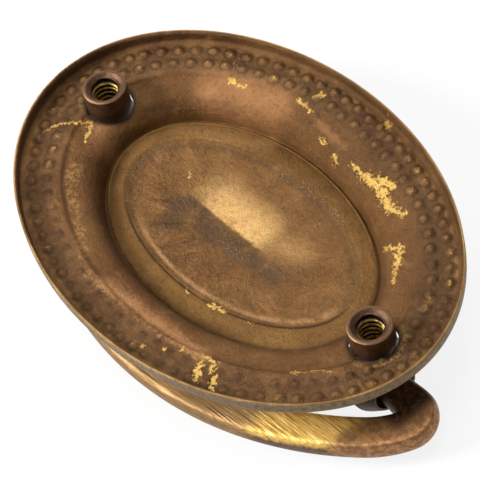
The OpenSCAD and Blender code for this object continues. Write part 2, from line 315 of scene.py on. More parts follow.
# %% Helpers for meshes, and the plate's skin
def to_object(name, verts, faces, marks=None):
    """Makes a smooth object that faces outwards and keeps a number per point for each mark."""
    mesh = bpy.data.meshes.new(name)
    mesh.from_pydata(verts, [], faces)
    for mark, values in (marks or {}).items():
        mesh.attributes.new(mark, "FLOAT", "POINT").data.foreach_set("value", values)
    bm = bmesh.new()
    bm.from_mesh(mesh)
    loose = [v for v in bm.verts if not v.link_faces]
    bmesh.ops.delete(bm, geom=loose, context="VERTS")
    bmesh.ops.recalc_face_normals(bm, faces=bm.faces)
    for f in bm.faces:
        f.smooth = True
    bm.to_mesh(mesh)
    bm.free()
    obj = bpy.data.objects.new(name, mesh)
    bpy.context.scene.collection.objects.link(obj)
    return obj


def grid_faces(rings, columns, first, skip):
    """Quads between neighbouring rings, without those that lie inside a hole."""
    faces = []
    for i in range(rings - 1):
        for j in range(columns):
            n = (j + 1) % columns
            if not (skip[i, j] and skip[i, n] and skip[i + 1, j] and skip[i + 1, n]):
                a, b = first + i * columns, first + (i + 1) * columns
                faces.append((a + j, a + n, b + n, b + j))
    return faces


def metres(points):
    p = points.reshape(-1, 3) * MM
    return np.stack([p[:, 0], -p[:, 1], p[:, 2]], 1).tolist()


verts = metres(back_points) + metres(front_points)
front_first = len(back) * COLUMNS
faces = grid_faces(len(back), COLUMNS, 0, inside)
faces += grid_faces(len(front), COLUMNS, front_first, front_inside)
for j in range(COLUMNS):
    n = (j + 1) % COLUMNS
    faces.append((j, n, front_first + n, front_first + j))
centre_back, centre_front = 7.5, 8.1
verts += [(0, -centre_back * MM, 0), (0, -centre_front * MM, 0)]
last_back, last_front = front_first - COLUMNS, len(verts) - 2 - COLUMNS
for j in range(COLUMNS):
    n = (j + 1) % COLUMNS
    faces.append((last_back + j, last_back + n, len(verts) - 2))
    faces.append((last_front + j, last_front + n, len(verts) - 1))
print("plate faces without the walls of the holes", len(faces))

# %% [markdown]
# The walls of the holes are as high as the sheet is thick. Bridging edge loops
# would fill them. Both sides share their numbering, so each open edge of the
# back is simply joined to the same edge of the front.

# %% Walls of the holes
count = {}
for f in faces:
    for a, b in zip(f, f[1:] + f[:1]):
        key = (min(a, b), max(a, b))
        count[key] = count.get(key, 0) + 1
to_front = front_first + (len(outer_edge) - len(inner_edge)) * COLUMNS
open_back = [e for e, c in count.items() if c == 1 and e[1] < front_first]
for a, b in open_back:
    faces.append((a, b, b + to_front, a + to_front))
on_front = np.repeat([0.0, 1.0, 0.0, 1.0], [len(back_near), len(front_near), 1, 1])
bead_near = np.concatenate([back_near, front_near, [0, 0]])
plate = to_object("plate_sheet", verts, faces, {"bead_near": bead_near, "on_front": on_front})
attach(plate, "mounting")
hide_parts("backplate")
check = bmesh.new()
check.from_mesh(plate.data)
open_edges = sum(not e.is_manifold for e in check.edges)
print("plate triangles", len(check.calc_loop_triangles()), "open edges", open_edges)
check.free()

# %% [markdown]
# ## The bail
#
# The bail is one cast bar, round in front and filed flat on the back, bent into a
# bow. A curve with a bevel would give the bow, but its tight corners would fold
# over on the inside. So sections are set along the way and the inside of each
# corner is mitred. It is laid out in its own plane, x across and v down, and
# runs from one pintle round to the other.

# %% Plan of the bail
bow_r, flat_back = 3.2, 1.9
bow_radius, flank_radius, corner_radius = 62.095, 17.1, 2.4
bail_drop, bow_sweep, bail_lift = 24.84, 41.7, 5.3
bow_from = 90 - bow_sweep
bow_centre_v = bail_drop - bow_radius
reach, bow_start = bow_radius - flank_radius, math.radians(bow_from)
flank_centre = (reach * math.cos(bow_start), bow_centre_v + reach * math.sin(bow_start))
corner_reach, arm_gap = 10.8, 0.3
corner_centre = (post_x + corner_reach - corner_radius, corner_radius)
corner_across, corner_down = (c - f for c, f in zip(corner_centre, flank_centre))
corner_to = math.degrees(math.atan2(corner_down, corner_across))
arm_end = post_x + arm_gap
print("corner at", [round(c, 2) for c in corner_centre], "turns to", round(corner_to, 1))

# %% [markdown]
# A section through the bar is a circle with its back filed off. The file left
# edges that wear has softened. Averaging each point with its neighbours rounds
# them, which is simpler than a bevel of changing width.


# %% Sections and stations
def section(radius, flat, count=60, flat_count=12):
    """Outline of the bar as (out, back), with worn edges beside the flat."""
    flat = min(flat, radius * 0.985)
    start = math.degrees(math.asin(flat / radius))
    arc_count = count - flat_count
    points = []
    for k in range(arc_count):
        a = math.radians(180 - start + (180 + 2 * start) * k / (arc_count - 1))
        points.append([radius * math.cos(a), radius * math.sin(a)])
    half = radius * math.cos(math.radians(start))
    for k in range(1, flat_count + 1):
        points.append([half - 2 * half * k / (flat_count + 1), flat])
    p = np.array(points)
    for _ in range(2):
        p = (np.roll(p, 1, 0) + 2 * p + np.roll(p, -1, 0)) / 4
    return p


def mitre(out):
    """Where the arm and the flank meet on the inside of the corner."""
    if out >= -corner_radius:
        return None
    v = -out
    return flank_centre[0] + math.sqrt((flank_radius + out) ** 2 - (v - flank_centre[1]) ** 2), v


def station(centre, radius, angle, out_back, part):
    """Points (x, v, back) of a section set at an angle on an arc."""
    c, s = math.cos(math.radians(angle)), math.sin(math.radians(angle))
    rows = []
    for out, back_off in out_back:
        x, v = centre[0] + (radius + out) * c, centre[1] + (radius + out) * s
        m = mitre(out)
        if m and (part == "corner" or (part == "flank" and v < m[1]) or (part == "arm" and x > m[0])):
            x, v = m
        rows.append((x, v, back_off))
    return rows


# %% [markdown]
# The stations of one side are the pintle, the arm, the corner, the flank and
# half of the bow. The bar grows thicker along the arm. The other side could be
# made by a Mirror modifier. The stations are mirrored instead, so that one skin
# runs through the middle without a seam. At rest the bail is lifted by 5.3
# degrees, as it lies on the floor in the photo.

# %% Bar of the bail
pintle_r, pintle_length, arm_r = 1.5, 3.4, 2.6
thick_from, flat_over = 42.5, 8.1
side = []
pin_angles = [math.atan2(b, o) for o, b in section(arm_r, 2.5)]
pin = [(pintle_r * math.cos(a), pintle_r * math.sin(a)) for a in pin_angles]
for x in (post_x - pintle_length, arm_end - 0.02):
    side.append(station((x, 0), 0, -90, pin, "arm"))
for k in range(15):
    x = arm_end + (corner_centre[0] - arm_end) * k / 14
    thicker = min((x - arm_end) / (thick_from - arm_end), 1)
    flatter = min((x - arm_end) / flat_over, 1)
    arm = section(arm_r + 0.6 * thicker, 2.25 - 0.35 * flatter)
    side.append(station((x, 0), 0, -90, arm, "arm"))
full = section(bow_r, flat_back)
for k in range(1, 15):
    angle = -90 + (corner_to + 90) * k / 14
    side.append(station(corner_centre, corner_radius, angle, full, "corner"))
for k in range(1, 25):
    angle = corner_to + (bow_from - corner_to) * k / 24
    side.append(station(flank_centre, flank_radius, angle, full, "flank"))
for k in range(1, 41):
    angle = bow_from + bow_sweep * k / 40
    side.append(station((0, bow_centre_v), bow_radius, angle, full, "bow"))
rows = side + [[(-x, v, b) for x, v, b in row] for row in reversed(side[:-1])]

tilt = math.radians(-bail_lift)
bail_verts = []
for row in rows:
    for x, v, b in row:
        y, z = b, -v
        bail_verts.append((
            x * MM,
            (-pivot_depth + y * math.cos(tilt) - z * math.sin(tilt)) * MM,
            (y * math.sin(tilt) + z * math.cos(tilt)) * MM,
        ))
n = len(full)
bail_faces = [tuple(range(n)), tuple(len(bail_verts) - n + k for k in range(n))]
for i in range(len(rows) - 1):
    for k in range(n):
        a, b = i * n, (i + 1) * n
        bail_faces.append((a + k, a + (k + 1) % n, b + (k + 1) % n, b + k))
bail = to_object("bail_bar", bail_verts, bail_faces)
bm = bmesh.new()
bm.from_mesh(bail.data)
bmesh.ops.remove_doubles(bm, verts=bm.verts, dist=1e-7)
bmesh.ops.recalc_face_normals(bm, faces=bm.faces)
for f in bm.faces:
    f.smooth = len(f.verts) < 10
print("bail faces", len(bm.faces), "open edges", sum(not e.is_manifold for e in bm.edges))
bm.to_mesh(bail.data)
bm.free()
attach(bail, "swinging_bail")
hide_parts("bail")

# %% [markdown]
# ## Threads
#
# Each post is tapped for a screw with 24 turns to the inch: a ridge with a narrow
# crest winds up the inside of the bore. A spin with a step makes such a ridge.
# Here its first turn also rises slowly out of the wall, as a tap leaves it, so
# its sections are set along the helix one by one.


# %% Threads in the posts
def thread(name, x):
    pitch, wall, crest, turns, per_turn = 1.058, 2.43, 2.02, 7.9, 60
    start_y, run_in, bury = 1.05, 0.6, 0.03
    profile = [(wall, -0.46), (crest, -0.07), (crest, 0.07), (wall, 0.46), (wall + bury, 0)]
    verts = []
    for k in range(int(turns * per_turn) + 1):
        a = 2 * math.pi * k / per_turn
        grow = min(k / per_turn / run_in, 1)
        for r, along in profile:
            radius = wall + (r - wall) * grow if r < wall else r
            y = start_y - pitch * (k / per_turn) + along * pitch
            verts.append(((x + radius * math.cos(a)) * MM, y * MM, radius * math.sin(a) * MM))
    n = len(profile)
    faces = [tuple(range(n)), tuple(len(verts) - n + k for k in range(n))]
    for i in range(len(verts) // n - 1):
        for k in range(n):
            a, b = i * n, (i + 1) * n
            faces.append((a + k, a + (k + 1) % n, b + (k + 1) % n, b + k))
    obj = to_object(name, verts, faces)
    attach(obj, "mounting")
    return obj


threads = [thread("left_thread", -post_x), thread("right_thread", post_x)]
print("threads", [t.name for t in threads])

# %% [markdown]
# ## Materials
#
# Old brass has layers: metal, brown patina, dirt and rubbed places. Image
# textures could carry them, but need unwrapped pieces. Sums of noise and of marks
# placed in millimetres were chosen, because they stay sharp close up. A small
# wrapper lets a material be written as such sums. Each number or colour that
# flows through the node tree is a Value, and Value objects add and multiply.


# %% Value and Paint
class Value:
    """A number, vector or colour in a node tree."""

    def __init__(self, tree, socket):
        self.tree, self.socket = tree, socket

    def node(self, kind, settings=None, out=0, **inputs):
        """Any node. An input is given by its name, or by its place as i0, i1 and so on."""
        made = self.tree.nodes.new(kind)
        for key, value in (settings or {}).items():
            setattr(made, key, value)
        for key, value in inputs.items():
            by_place = key[0] == "i" and key[1:].isdigit()
            target = made.inputs[int(key[1:]) if by_place else key]
            if isinstance(value, Value):
                self.tree.links.new(value.socket, target)
            else:
                target.default_value = value
        return Value(self.tree, made.outputs[out])

    def math(self, operation, *others):
        inputs = {f"i{k}": v for k, v in enumerate((self, *others))}
        return self.node("ShaderNodeMath", {"operation": operation}, **inputs)

    def __add__(self, other): return self.math("ADD", other)
    def __sub__(self, other): return self.math("SUBTRACT", other)
    def __mul__(self, other): return self.math("MULTIPLY", other)
    def __truediv__(self, other): return self.math("DIVIDE", other)
    def __rsub__(self, other): return (self * -1.0).math("ADD", other)
    __radd__, __rmul__ = __add__, __mul__

    def ramp(self, low, high):
        """0 below low, 1 above high, smooth between them."""
        return self.node(
            "ShaderNodeMapRange", {"interpolation_type": "SMOOTHSTEP"},
            i0=self, i1=low, i2=high, i3=0.0, i4=1.0,
        )


class Paint:
    """A material with its Principled shader and its object coordinates in millimetres."""

    def __init__(self, name):
        self.material = bpy.data.materials.new(name)
        self.material.use_nodes = True
        self.tree = self.material.node_tree
        self.shader = self.tree.nodes["Principled BSDF"]
        self.any = Value(self.tree, None)
        coords = self.tree.nodes.new("ShaderNodeTexCoord")
        metre = Value(self.tree, coords.outputs["Object"])
        self.place = metre.node("ShaderNodeVectorMath", {"operation": "SCALE"}, i0=metre, Scale=1000.0)
        split = self.tree.nodes.new("ShaderNodeSeparateXYZ")
        self.tree.links.new(self.place.socket, split.inputs[0])
        self.x, self.y, self.z = (Value(self.tree, s) for s in split.outputs)

        # Coordinates shaken by up to a millimetre or two, so that strokes have ragged edges.
        loose = self.noise(1.1, 4.0, 0.7, out=1)
        shift = self.tree.nodes.new("ShaderNodeSeparateXYZ")
        self.tree.links.new(loose.socket, shift.inputs[0])
        self.ragged_x = self.x + (Value(self.tree, shift.outputs[0]) - 0.5) * 3.0
        self.ragged_z = self.z + (Value(self.tree, shift.outputs[1]) - 0.5) * 3.0

    def noise(self, scale, detail=4.0, rough=0.6, where=None, out=0):
        where = where or self.place
        return where.node(
            "ShaderNodeTexNoise", {"noise_dimensions": "3D"}, out,
            Vector=where, Scale=scale, Detail=detail, Roughness=rough,
        )

    def vector(self, x, y, z):
        return self.any.node("ShaderNodeCombineXYZ", i0=x, i1=y, i2=z)

    def mix(self, amount, a, b):
        return self.any.node("ShaderNodeMix", {"data_type": "RGBA"}, out=2, i0=amount, i6=a, i7=b)

    def oval(self, a, b, turn=0.0):
        """1 on the oval with half width a and half height b, less inside it."""
        c, s = math.cos(math.radians(turn)), math.sin(math.radians(turn))
        x, z = self.x * c + self.z * s, self.z * c - self.x * s
        return ((x / a).math("POWER", 2.0) + (z / b).math("POWER", 2.0)).math("SQRT")

    def line(self, a, b, turn, half):
        """1 on an oval's line, fading to 0 at half away (as a share of its size)."""
        return 1.0 - (self.oval(a, b, turn) - 1.0).math("ABSOLUTE").ramp(0.0, half)

    def stroke(self, x0, z0, x1, z1, width):
        """1 along the middle of a ragged stroke in the plate's plane, 0 from its edge on."""
        ex, ez = x1 - x0, z1 - z0
        dx, dz = self.ragged_x - x0, self.ragged_z - z0
        t = ((dx * ex + dz * ez) / (ex * ex + ez * ez)).math("MINIMUM", 1.0).math("MAXIMUM", 0.0)
        u, v = dx - t * ex, dz - t * ez
        return (1.0 - (u * u + v * v).math("SQRT") / width).math("MAXIMUM", 0.0)

    def strokes(self, marks):
        found = self.stroke(*marks[0])
        for mark in marks[1:]:
            found = found.math("MAXIMUM", self.stroke(*mark))
        return found

    def set(self, **inputs):
        for key, value in inputs.items():
            target = self.shader.inputs[key.replace("_", " ")]
            if isinstance(value, Value):
                self.tree.links.new(value.socket, target)
            else:
                target.default_value = value

    def bump(self, height, strength, distance):
        bumped = height.node("ShaderNodeBump", Height=height, Strength=strength, Distance=distance)
        self.set(Normal=bumped)


# %% [markdown]
# The plate's back is brown with age. Its border is the darkest, the cove is a
# coppery brown and the panel a golden one. Separate materials could be given to
# the zones. One material with soft ovals for masks was chosen, as age has no
# hard edges. The tones are set zone by zone.

# %% Zones of the plate
BARE = (0.72, 0.46, 0.12, 1)
# A near black, used for dirt and for painted shade.
DIRT_AND_SHADE = (0.030, 0.018, 0.011, 1)
plate_paint = Paint("plate_brass")
p = plate_paint
cloud = p.noise(0.10, 5.0, 0.65)
patchy = p.noise(0.35, 5.0, 0.7)
grain = p.noise(1.3, 6.0, 0.75)
fine = p.noise(5.0, 4.0, 0.7)
field = 1.0 - p.oval(36.9, 24.1).ramp(0.965, 1.01)
ridge = 1.0 - p.oval(28.9, 18.0).ramp(0.95, 1.03)
middle = 1.0 - p.oval(24.8, 13.6, -3.0).ramp(0.95, 1.0)
border_brown = p.mix(cloud.ramp(0.35, 0.65), (0.112, 0.052, 0.020, 1), (0.185, 0.095, 0.037, 1))
cove_brown = p.mix(cloud.ramp(0.35, 0.7), (0.125, 0.055, 0.018, 1), (0.180, 0.087, 0.031, 1))
band_olive = p.mix(cloud.ramp(0.35, 0.7), (0.150, 0.074, 0.021, 1), (0.215, 0.110, 0.032, 1))
panel_gold = p.mix(cloud.ramp(0.3, 0.7), (0.145, 0.067, 0.022, 1), (0.21, 0.106, 0.034, 1))
colour = p.mix(field, border_brown, cove_brown)
colour = p.mix(ridge, colour, band_olive)
colour = p.mix(middle, colour, panel_gold)
print("zones painted")

# %% [markdown]
# Soft strokes colour the cove and the border: rosy painted reflections on the cove,
# darker strokes over the top, painted shade in the crease, a dark line in the bead
# rows and thin painted highlights. Noise alone would put them anywhere. Strokes put
# them where they show on the pull: each runs from x, z to x, z in millimetres and
# has a width.

# %% Painted reflections, painted shade and other strokes
# Rosy painted reflections on the top of the cove and along its lower edge.
ROSY_REFLECTIONS = [
    (25, 15, 14, 20.0, 5.5), (6, 22.2, -1, 21.8, 1.2),
    (31.5, -4.5, 29, -5.5, 4.0), (5, -23.4, -18, -20.8, 1.9),
]
rosy_reflection = p.strokes(ROSY_REFLECTIONS).ramp(0.0, 0.9) * (1.0 - ridge)
colour = p.mix(rosy_reflection * (0.1 + patchy), colour, (0.44, 0.215, 0.090, 1))
# A painted highlight on the sloping band.
band_highlight = p.strokes([(26, 7, 12, 15.2, 3.5)]).ramp(0.0, 0.8) * ridge * (1.0 - middle)
colour = p.mix(band_highlight * 0.8, colour, (0.30, 0.16, 0.055, 1))
DULL = [(10, 23.5, -8, 22.5, 5.0), (-22, 25, -36, 13, 8.0), (8, 29, -12, 28, 4.5)]
colour = p.mix(p.strokes(DULL).ramp(0.0, 0.7) * 0.35, colour, (0.055, 0.027, 0.012, 1))
# Painted shade in the crease, on the lower side only.
crease_shade = p.line(29.4, 18.5, 0, 0.09) * (1.0 - (p.z + p.x * 0.5).ramp(-14.0, 6.0))
colour = p.mix(crease_shade * 0.7, colour, (0.055, 0.030, 0.013, 1))
colour = p.mix(p.line(39.6, 26.9, 0, 0.035) * 0.45, colour, (0.055, 0.027, 0.012, 1))
# A thin painted highlight along the rolled edge of the border.
edge_highlight = p.line(43.1, 29.35, 0, 0.018) * cloud.ramp(0.4, 0.6)
colour = p.mix(edge_highlight * 0.6, colour, (0.34, 0.18, 0.06, 1))
print("stains", len(ROSY_REFLECTIONS) + len(DULL))

# %% [markdown]
# A highlight is painted on the panel above its long axis, with a sharp lower edge
# and a painted dark reflection under it. A painted highlight and painted shade run
# along the panel's foot, and fine marks run outwards from its middle. A lamp could
# draw the bright patch, but only from one side. Paint was chosen, as it stays when
# the pull is turned.

# %% Panel
c3, s3 = math.cos(math.radians(-3.5)), math.sin(math.radians(-3.5))
along = p.x * c3 + p.z * s3 + (patchy - 0.5) * 5.0
across = p.z * c3 - p.x * s3 + (grain - 0.5) * 1.0 + (patchy - 0.5) * 1.0
# The painted highlight above the panel's long axis.
panel_highlight = across.ramp(-0.3, 0.35) * (1.0 - across.ramp(2.5, 9.0))
panel_highlight = panel_highlight * along.ramp(-6.5, -2.0) * (1.0 - along.ramp(6.0, 15.0))
panel_highlight = panel_highlight + p.stroke(-6.5, 3.0, -10.0, 4.5, 4.0) * 0.35
DARK_REFLECTIONS = [(11.0, -1.7, 3.0, -3.0, 3.2), (3.0, -2.6, -11.0, -1.3, 2.8), (12.5, -3.5, 10.5, -6.5, 3.0)]
rad = p.oval(24.8, 13.6, -3.0)
marks = p.noise(1.0, 5.0, 0.7, p.vector(p.x * 0.55 / rad * 0.42, rad * 2.2, p.z / rad * 0.42))
lower_right = 0.35 + (p.x * 0.5 - p.z).ramp(-6.0, 8.0) * 0.65
rayed = middle * rad.ramp(0.2, 0.6) * lower_right * patchy.ramp(0.3, 0.6)
colour = p.mix(marks.ramp(0.5, 0.68) * rayed * 0.6, colour, (0.38, 0.195, 0.085, 1))
colour = p.mix((1.0 - marks.ramp(0.34, 0.47)) * rayed * 0.55, colour, (0.085, 0.045, 0.021, 1))
mottle = p.noise(0.7, 5.0, 0.75)
colour = p.mix(mottle.ramp(0.45, 0.75) * middle * 0.5, colour, (0.085, 0.048, 0.022, 1))
highlight_gold = p.mix(grain.ramp(0.4, 0.65), (0.58, 0.33, 0.115, 1), (0.86, 0.58, 0.24, 1))
colour = p.mix(panel_highlight * middle * 0.85, colour, highlight_gold)
# A painted dark reflection under the highlight.
dark_reflection = p.strokes(DARK_REFLECTIONS).ramp(0.0, 0.75) * (1.0 - panel_highlight) * middle
colour = p.mix(dark_reflection * 0.8, colour, (0.085, 0.050, 0.026, 1))
low_side = 1.0 - (p.z + p.x * 0.3).ramp(-9.0, -3.0)
lit_foot = p.line(23.4, 12.2, -3, 0.055) * low_side * patchy.ramp(0.35, 0.55)
colour = p.mix(lit_foot * 0.7, colour, (0.50, 0.28, 0.13, 1))
colour = p.mix(p.line(24.9, 13.65, -3, 0.022) * (0.3 + low_side * 0.65), colour, DIRT_AND_SHADE)
# Painted shade inside the panel's foot on its upper side.
shaded_foot = p.line(23.9, 12.7, -3, 0.07) * (1.0 - low_side)
colour = p.mix(shaded_foot * 0.55, colour, (0.075, 0.043, 0.020, 1))
# A thin painted highlight along the crest of the ridge.
crest_highlight = p.line(28.2, 17.3, 0, 0.012) * (p.z + p.x * 0.6).ramp(-3.0, 12.0)
colour = p.mix(crest_highlight * grain.ramp(0.25, 0.5), colour, (0.66, 0.40, 0.16, 1))
print("panel painted")

# %% [markdown]
# Dirt and painted shade lie round the beads, and their tops carry a painted
# highlight. Pointiness or ambient occlusion could find them, but not in every
# renderer. The mesh keeps how near a bead each point is, so that number is used.

# %% Dirt and painted shade round the beads, painted bead highlights and grain
near = p.any.node("ShaderNodeAttribute", {"attribute_name": "bead_near"}, 2)
# Dirt and painted shade round the foot of each bead.
bead_ring_dirt_and_shade = near.ramp(0.15, 0.42) * (1.0 - near.ramp(0.42, 0.62)) * patchy.ramp(0.25, 0.5)
colour = p.mix(bead_ring_dirt_and_shade * 0.5, colour, DIRT_AND_SHADE)
# A painted highlight on the top of each bead.
colour = p.mix(near.ramp(0.55, 0.9) * cloud.ramp(0.35, 0.6) * 0.55, colour, (0.33, 0.18, 0.07, 1))
colour = p.mix(mottle.ramp(0.50, 0.72) * 0.5, colour, (0.060, 0.030, 0.013, 1))
colour = p.mix(grain.ramp(0.50, 0.72) * 0.55, colour, (0.050, 0.026, 0.012, 1))
colour = p.mix(patchy.ramp(0.52, 0.75) * grain.ramp(0.3, 0.55) * 0.5, colour, (0.38, 0.195, 0.070, 1))
colour = p.mix(fine.ramp(0.54, 0.72) * 0.5, colour, (0.46, 0.26, 0.100, 1))
print("beads painted")

# %% [markdown]
# Bare metal shows where the patina has flaked off. The large flakes could be
# drawn as closed outlines. Strokes were chosen, broken up by a lacy noise, which
# gives each flake a torn edge. The small specks come from noise alone.

# %% Flakes
FLAKES = [
    (-4.8, 20.6, -8.5, 20.2, 0.6), (-8.5, 20.2, -12.5, 20.6, 1.5), (-10.5, 21.6, -13.5, 22.0, 1.2),
    (-12.5, 20.2, -16.5, 18.9, 1.7), (-16.0, 18.8, -19.0, 19.6, 1.2), (-21.4, 13.7, -23.9, 14.7, 0.9),
    (-23.9, 14.7, -26.0, 12.3, 1.1), (-26.0, 12.3, -28.1, 9.7, 0.6), (3.2, 20.3, 2.0, 20.2, 0.7),
    (-0.9, 19.8, -2.2, 19.2, 0.7), (12.0, 22.8, 8.5, 22.7, 0.5), (21.1, 18.2, 24.0, 17.6, 0.8),
    (-18.1, -20.8, -20.6, -20.5, 0.7), (-20.6, -20.5, -21.2, -21.8, 0.9), (-19.3, -22.5, -21.0, -24.6, 1.0),
    (-22.7, -22.3, -24.3, -23.9, 1.0), (-8.6, -12.6, -10.9, -12.0, 0.8), (-3.8, -13.6, -3.2, -13.7, 0.5),
    (-15.6, -10.6, -16.0, -10.5, 0.5), (16.1, 1.9, 15.6, 1.7, 0.5), (37.9, -11.7, 37.2, -8.8, 0.32),
    (37.2, -8.8, 34.3, -5.2, 0.32), (34.0, -4.6, 31.3, -7.8, 0.6), (-30.3, -13.1, -34.6, -8.5, 0.3),
    (-2.8, 29.8, -3.6, 29.5, 0.8), (9.7, 26.4, 10.2, 25.2, 0.8), (-9.7, -26.6, -9.9, -26.5, 0.4),
    (-12.7, -24.8, -12.9, -24.7, 0.4), (-14.7, -22.5, -14.9, -22.4, 0.45),
]
lace = p.noise(1.9, 6.0, 0.8)
flakes = p.strokes(FLAKES)
worn = (flakes * 0.23 + lace - 0.61).ramp(0.0, 0.04) * flakes.ramp(0.0, 0.2)
tops = near.ramp(0.45, 0.8) * patchy.ramp(0.52, 0.62) * lace.ramp(0.52, 0.57)
small = p.noise(2.8, 4.0, 0.85)
specks = (small - 0.5 + (cloud - 0.5) * 0.3).ramp(0.175, 0.22)
RUBS = [
    (8, -24.3, -9, -22.8, 1.3), (-9, -22.8, -19, -21.0, 1.4),
    (25, -15.5, 12, -22.5, 1.2), (28, -12.5, 25.5, -15.5, 1.6),
]
rubbed = p.strokes(RUBS).ramp(0.0, 0.5) * grain.ramp(0.44, 0.60)
colour = p.mix(rubbed * 0.5, colour, (0.50, 0.28, 0.11, 1))
worn = worn.math("MAXIMUM", tops).math("MAXIMUM", specks)
colour = p.mix(worn * 0.92, colour, BARE)
print("flakes", len(FLAKES))

# %% [markdown]
# Grey-green deposits lie on the ridge, the panel has a few scratches, and dirt and
# gilt edges ring the posts. They could be small pieces of their own, but they are
# thinner than a hair, so they are painted and only raised by the bump.

# %% Deposits, scratches and seats
LIME = [
    (4.0, 12.6, -1.5, 13.4, 1.2), (-1.5, 13.4, -11.0, 13.5, 1.4), (25.1, 18.6, 26.3, 21.5, 1.8),
    (24.0, 20.5, 24.6, 19.5, 1.5), (9.8, 5.2, 4.4, 4.7, 1.4), (-6.7, 10.6, -8.5, 10.0, 0.9),
    (0.9, -2.7, -4.5, -3.0, 1.8),
]
lime_place = p.strokes(LIME)
lime = (small + lime_place * 0.08 - 0.63).ramp(0.0, 0.05) * lime_place.ramp(0.0, 0.25)
colour = p.mix(lime * 0.7, colour, (0.40, 0.37, 0.26, 1))
SCRATCHES = [
    (16.6, -5.8, 13.0, -3.5, 0.16), (12.5, -9.4, 8.7, -5.1, 0.16),
    (7.0, -11.0, 4.7, -5.6, 0.16), (3.0, -7.6, 2.6, -9.9, 0.14),
]
scratch = p.strokes(SCRATCHES)
colour = p.mix(scratch * 0.8, colour, DIRT_AND_SHADE)
from_post = ((p.x.math("ABSOLUTE") - post_x).math("POWER", 2.0) + p.z * p.z).math("SQRT")
seat = from_post + (grain - 0.5) * 1.2
colour = p.mix((1.0 - seat.ramp(4.0, 4.9)) * 0.9, colour, DIRT_AND_SHADE)
gilt = (1.0 - (seat - 5.0).math("ABSOLUTE").ramp(0.0, 0.6)) * (1.0 - p.x.ramp(-40.0, -33.0))
gilt = gilt * small.ramp(0.50, 0.56)
colour = p.mix(gilt * 0.7, colour, (0.62, 0.37, 0.13, 1))
print("back painted")

# %% [markdown]
# The front was once polished and isn't seen by the camera. It is given an even,
# warmer brass, dark only in the crease and round the beads. The two sides could
# be told apart by their normals, but the edge would be blotched, so the mesh
# keeps a number for it. The outer rim is paler, a painted reflection of the floor.

# %% Front and rim of the plate
on_front = p.any.node("ShaderNodeAttribute", {"attribute_name": "on_front"}, 2)
polished = p.mix(cloud.ramp(0.35, 0.65), (0.27, 0.145, 0.050, 1), (0.46, 0.275, 0.100, 1))
creases = p.line(29.4, 18.5, 0, 0.13) * 0.55 + p.line(24.5, 13.3, -3, 0.05) * 0.3
polished = p.mix(creases, polished, (0.06, 0.034, 0.016, 1))
bead_ring_dirt_and_shade = near.ramp(0.05, 0.4) * (1.0 - near.ramp(0.40, 0.62))
polished = p.mix(bead_ring_dirt_and_shade * (0.15 + patchy * 0.5), polished, DIRT_AND_SHADE)
polished = p.mix(near.ramp(0.45, 0.8) * 0.5, polished, (0.62, 0.39, 0.15, 1))
polished = p.mix(mottle.ramp(0.48, 0.72) * 0.5, polished, (0.15, 0.078, 0.032, 1))
polished = p.mix(grain.ramp(0.50, 0.72) * 0.45, polished, (0.085, 0.046, 0.020, 1))
front_mask = on_front.ramp(0.4, 0.6)
colour = p.mix(front_mask, colour, polished)
# The paler outer rim is a painted reflection of the pale floor.
rim_floor_reflection = p.oval(half_w, half_h).ramp(0.985, 0.995) * p.y.ramp(-2.4, -1.8)
rim_floor_reflection = rim_floor_reflection * (1.0 - p.y.ramp(-0.35, -0.05))
pale_reflection = p.mix(grain.ramp(0.4, 0.6), (0.24, 0.185, 0.125, 1), (0.16, 0.105, 0.058, 1))
colour = p.mix(rim_floor_reflection * 0.85, colour, pale_reflection)
worn, lime, scratch = (v * (1.0 - front_mask) for v in (worn, lime, scratch))
rough = 0.40 + grain * 0.2 - worn * 0.14 + lime * 0.3
p.set(Base_Color=colour, Metallic=0.9 - lime * 0.8, Roughness=rough)
relief = grain * 0.8 + fine * 0.5 + patchy * 1.3 - worn * 0.15 + lime * 0.4
p.bump(relief + marks * rayed * 0.9 - scratch * 0.5, 0.7, 0.0005)
print("plate painted")

# %% [markdown]
# The posts are dark brown outside and in the countersunk mouth. Below it the
# crests of the thread are rubbed bright and the grooves are black with dirt. The
# thread could have its own material. One material was chosen that goes by the
# distance from the post's axis, so ridge and bore match where they meet.

# %% Posts
post_paint = Paint("post_brass")
p = post_paint
grain = p.noise(1.1, 5.0, 0.7)
fine = p.noise(4.0, 3.0, 0.7)
radius = ((p.x.math("ABSOLUTE") - post_x).math("POWER", 2.0) + p.z * p.z).math("SQRT")
brown = p.mix(grain.ramp(0.35, 0.7), (0.105, 0.053, 0.030, 1), (0.19, 0.100, 0.055, 1))
ring = p.y.ramp(1.2, 1.6) * radius.ramp(2.3, 2.6)
colour = p.mix(ring * 0.6, brown, (0.150, 0.080, 0.043, 1))
turned = (1.0 - (radius - 3.28).math("ABSOLUTE").ramp(0.0, 0.10)) * p.y.ramp(1.2, 1.4)
colour = p.mix(turned * 0.6, colour, DIRT_AND_SHADE)
edge = (1.0 - (radius - 3.60).math("ABSOLUTE").ramp(0.0, 0.13)) * p.y.ramp(1.3, 1.5)
colour = p.mix(edge * 0.8, colour, (0.40, 0.23, 0.10, 1))
colour = p.mix((1.0 - p.y.ramp(-2.4, -0.6)) * radius.ramp(3.5, 3.7) * 0.6, colour, DIRT_AND_SHADE)
bore = (1.0 - radius.ramp(2.40, 2.44)) * (1.0 - p.y.ramp(0.9, 1.3)) * p.y.ramp(-9.7, -9.4)
crest = 1.0 - radius.ramp(2.10, 2.24)
rubbed_crest = p.mix(grain.ramp(0.42, 0.62), (0.80, 0.52, 0.13, 1), (0.20, 0.115, 0.04, 1))
colour = p.mix(bore, colour, p.mix(crest, DIRT_AND_SHADE, rubbed_crest))
p.set(Base_Color=colour, Metallic=0.85, Roughness=0.40 + grain * 0.2 - bore * 0.14)
p.bump(grain + fine * 0.4, 0.55, 0.0003)
